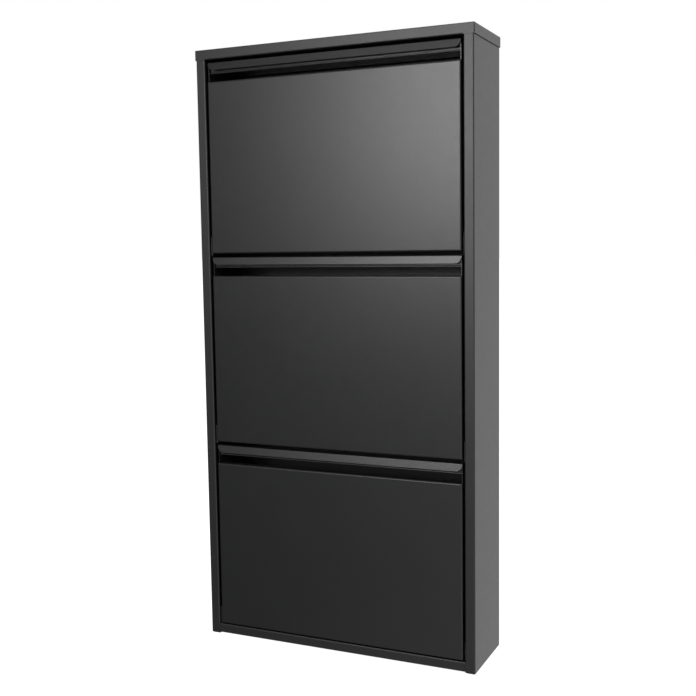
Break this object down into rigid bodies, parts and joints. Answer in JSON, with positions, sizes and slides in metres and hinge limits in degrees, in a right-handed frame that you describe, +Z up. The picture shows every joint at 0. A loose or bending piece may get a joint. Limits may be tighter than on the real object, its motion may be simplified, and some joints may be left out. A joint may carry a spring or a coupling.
{
  "type": "shoe cabinet",
  "caption": "Slim sheet-steel shoe cabinet with tilt-out flaps, each with a pull rail and a shoe pocket, for standing against a wall.",
  "frame": {"origin": "on the floor, at the middle of the cabinet's footprint", "axes": "+X to the right seen from the front, +Y to the back, +Z up; the flaps face -Y"},
  "size_m": [0.5, 0.14, 1.03],
  "materials": {
    "carcass_coat": "satin powder coat, anthracite",
    "flap_coat": "satin powder coat, anthracite",
    "zinc_steel": "zinc plated",
    "black_steel": "black oxide",
    "black_nylon": "moulded",
    "black_plastic": "moulded",
    "rubber": "matt"
  },
  "bodies": {
    "carcass": {"side_panel_left": "carcass_coat", "side_panel_right": "carcass_coat", "top_cap": "carcass_coat", "bottom_panel": "carcass_coat", "back_panel": "carcass_coat", "wall_rail": "carcass_coat", "cap_nuts": "zinc_steel", "cap_screws": "zinc_steel", "base_screws": "zinc_steel", "side_rivets": "zinc_steel", "back_rivets": "zinc_steel", "block_studs": "zinc_steel", "block_nuts": "zinc_steel", "stop_pins": "zinc_steel", "glide_front_left": "black_plastic", "glide_front_right": "black_plastic", "glide_rear_left": "black_plastic", "glide_rear_right": "black_plastic", "stop_sleeves": "rubber", "pivot_block_lower_left": "black_nylon", "pivot_block_lower_right": "black_nylon", "pivot_block_middle_left": "black_nylon", "pivot_block_middle_right": "black_nylon", "pivot_block_upper_left": "black_nylon", "pivot_block_upper_right": "black_nylon"},
    "lower_flap": {"lower_front_panel": "flap_coat", "lower_pull_rail": "flap_coat", "lower_cheek_left": "flap_coat", "lower_cheek_right": "flap_coat", "lower_shoe_tray": "flap_coat", "lower_pivot_pin_left": "black_steel", "lower_pivot_pin_right": "black_steel", "lower_tray_screws": "zinc_steel"},
    "middle_flap": {"middle_front_panel": "flap_coat", "middle_pull_rail": "flap_coat", "middle_cheek_left": "flap_coat", "middle_cheek_right": "flap_coat", "middle_shoe_tray": "flap_coat", "middle_pivot_pin_left": "black_steel", "middle_pivot_pin_right": "black_steel", "middle_tray_screws": "zinc_steel"},
    "upper_flap": {"upper_front_panel": "flap_coat", "upper_pull_rail": "flap_coat", "upper_cheek_left": "flap_coat", "upper_cheek_right": "flap_coat", "upper_shoe_tray": "flap_coat", "upper_pivot_pin_left": "black_steel", "upper_pivot_pin_right": "black_steel", "upper_tray_screws": "zinc_steel"}
  },
  "joints": [
    {"name": "lower_tilt", "type": "hinge", "parent": "carcass", "child": "lower_flap", "pos_m": [0, -0.0566, 0.0323], "axis": [1, 0, 0], "range_deg": [0, 42]},
    {"name": "middle_tilt", "type": "hinge", "parent": "carcass", "child": "middle_flap", "pos_m": [0, -0.0566, 0.3637], "axis": [1, 0, 0], "range_deg": [0, 42]},
    {"name": "upper_tilt", "type": "hinge", "parent": "carcass", "child": "upper_flap", "pos_m": [0, -0.0566, 0.6951], "axis": [1, 0, 0], "range_deg": [0, 42]}
  ]
}
